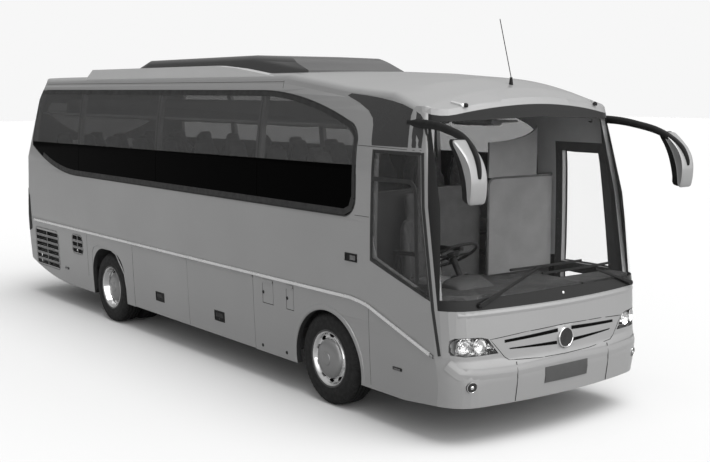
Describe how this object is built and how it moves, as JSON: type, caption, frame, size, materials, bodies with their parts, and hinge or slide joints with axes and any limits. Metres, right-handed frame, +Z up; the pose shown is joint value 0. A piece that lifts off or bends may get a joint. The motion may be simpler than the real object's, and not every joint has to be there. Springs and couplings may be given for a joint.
{
  "type": "touring coach bus",
  "caption": "Full-size single-deck touring coach with swept window band, horn mirrors, top-hung skirt flaps, steered front wheels and twin rear wheels.",
  "frame": {"origin": "on the ground under the middle of the overall length and width, mirrors included", "axes": "+X towards the nose, +Y to the coach's left, +Z up"},
  "size_m": [9.583, 2.704, 3.502],
  "materials": {
    "paint": "satin silver-grey metallic paint",
    "window_glass": "dark tinted glass",
    "lamp_chrome": "clear lens over bright reflector",
    "lamp_red": "dark lens",
    "grille": "satin paint with dark slots",
    "black_plastic": "grained black plastic",
    "floor_covering": "matt floor covering",
    "plywood_floor": "matt dark",
    "chassis_paint": "matt black chassis paint",
    "bellows_rubber": "matt",
    "engine_iron": "rough casting",
    "tank_metal": "brushed",
    "seat_fabric": "woven upholstery",
    "lining": "light grey lining",
    "tyre": "matt black rubber",
    "rim_chrome": "polished steel"
  },
  "bodies": {
    "coach": {"side_wall_right": "paint", "side_wall_left": "paint", "side_glass": "window_glass", "windscreen": "window_glass", "rear_window": "window_glass", "roof_shell": "paint", "front_panel": "paint", "front_bumper": "paint", "front_lamps": "lamp_chrome", "front_grille": "grille", "rear_wall": "paint", "tail_lamps": "lamp_red", "roof_fairings": "paint", "air_conditioner": "paint", "aerial": "black_plastic", "mirrors": "black_plastic", "wipers": "black_plastic", "entrance_door": "paint", "cabin_floor": "floor_covering", "entrance_steps": "floor_covering", "luggage_hold": "plywood_floor", "underframe": "chassis_paint", "wheel_housings": "chassis_paint", "front_axle": "chassis_paint", "rear_axle": "chassis_paint", "air_springs": "bellows_rubber", "engine": "engine_iron", "fuel_tank": "tank_metal", "battery_box": "black_plastic", "passenger_seats": "seat_fabric", "luggage_racks": "lining", "driver_screen": "lining", "dashboard": "black_plastic", "driver_seat": "seat_fabric", "steering_column": "black_plastic"},
    "luggage_flap_rear_right": {"luggage_flap_rear_right": "paint"},
    "luggage_flap_front_right": {"luggage_flap_front_right": "paint"},
    "luggage_flap_rear_left": {"luggage_flap_rear_left": "paint"},
    "luggage_flap_front_left": {"luggage_flap_front_left": "paint"},
    "fuel_flap": {"fuel_flap": "paint"},
    "filler_flap": {"filler_flap": "paint"},
    "engine_lid": {"engine_lid": "paint"},
    "steering_left": {"knuckle_left": "chassis_paint"},
    "steering_right": {"knuckle_right": "chassis_paint"},
    "front_wheel_left": {"front_rim_left": "rim_chrome", "front_tyre_left": "tyre"},
    "rear_wheels_left": {"rear_rim_left": "rim_chrome", "rear_tyre_left": "tyre"},
    "front_wheel_right": {"front_rim_right": "rim_chrome", "front_tyre_right": "tyre"},
    "rear_wheels_right": {"rear_rim_right": "rim_chrome", "rear_tyre_right": "tyre"},
    "steering_wheel": {"steering_wheel": "black_plastic"}
  },
  "joints": [
    {"name": "luggage_flap_rear_right_hinge", "type": "hinge", "parent": "coach", "child": "luggage_flap_rear_right", "pos_m": [-0.56, -1.19954, 1.048], "axis": [-1, 0, 0], "range_deg": [0, 95]},
    {"name": "luggage_flap_front_right_hinge", "type": "hinge", "parent": "coach", "child": "luggage_flap_front_right", "pos_m": [0.792, -1.19954, 1.048], "axis": [-1, 0, 0], "range_deg": [0, 95]},
    {"name": "luggage_flap_rear_left_hinge", "type": "hinge", "parent": "coach", "child": "luggage_flap_rear_left", "pos_m": [-0.56, 1.19954, 1.048], "axis": [1, 0, 0], "range_deg": [0, 95]},
    {"name": "luggage_flap_front_left_hinge", "type": "hinge", "parent": "coach", "child": "luggage_flap_front_left", "pos_m": [0.792, 1.19954, 1.048], "axis": [1, 0, 0], "range_deg": [0, 95]},
    {"name": "fuel_flap_hinge", "type": "hinge", "parent": "coach", "child": "fuel_flap", "pos_m": [1.743, -1.19887, 1.021], "axis": [-1, 0, 0], "range_deg": [0, 95]},
    {"name": "filler_flap_hinge", "type": "hinge", "parent": "coach", "child": "filler_flap", "pos_m": [2.13, -1.19887, 1.021], "axis": [-1, 0, 0], "range_deg": [0, 95]},
    {"name": "engine_lid_hinge", "type": "hinge", "parent": "coach", "child": "engine_lid", "pos_m": [-4.76573, 0, 1.566], "axis": [0, 1, 0], "range_deg": [0, 80]},
    {"name": "steer_left", "type": "hinge", "parent": "coach", "child": "steering_left", "pos_m": [2.7075, 0.95, 0.4335], "axis": [0, 0, 1], "range_deg": [-40, 40]},
    {"name": "steer_right", "type": "hinge", "parent": "coach", "child": "steering_right", "pos_m": [2.7075, -0.95, 0.4335], "axis": [0, 0, 1], "range_deg": [-40, 40]},
    {"name": "front_wheel_left_spin", "type": "hinge", "parent": "steering_left", "child": "front_wheel_left", "pos_m": [2.7075, 1.032, 0.4335], "axis": [0, 1, 0], "continuous": true},
    {"name": "rear_wheels_left_spin", "type": "hinge", "parent": "coach", "child": "rear_wheels_left", "pos_m": [-1.9145, 0.88, 0.4335], "axis": [0, 1, 0], "continuous": true},
    {"name": "front_wheel_right_spin", "type": "hinge", "parent": "steering_right", "child": "front_wheel_right", "pos_m": [2.7075, -1.032, 0.4335], "axis": [0, 1, 0], "continuous": true},
    {"name": "rear_wheels_right_spin", "type": "hinge", "parent": "coach", "child": "rear_wheels_right", "pos_m": [-1.9145, -0.88, 0.4335], "axis": [0, 1, 0], "continuous": true},
    {"name": "steering_wheel_turn", "type": "hinge", "parent": "coach", "child": "steering_wheel", "pos_m": [3.7975, -0.64, 1.48], "axis": [-0.5299, 0, 0.848], "range_deg": [-720, 720]}
  ],
  "couplings": [
    {"joint": "steer_right", "follows": "steer_left", "ratio": 1},
    {"joint": "steering_wheel_turn", "follows": "steer_left", "ratio": 18}
  ]
}
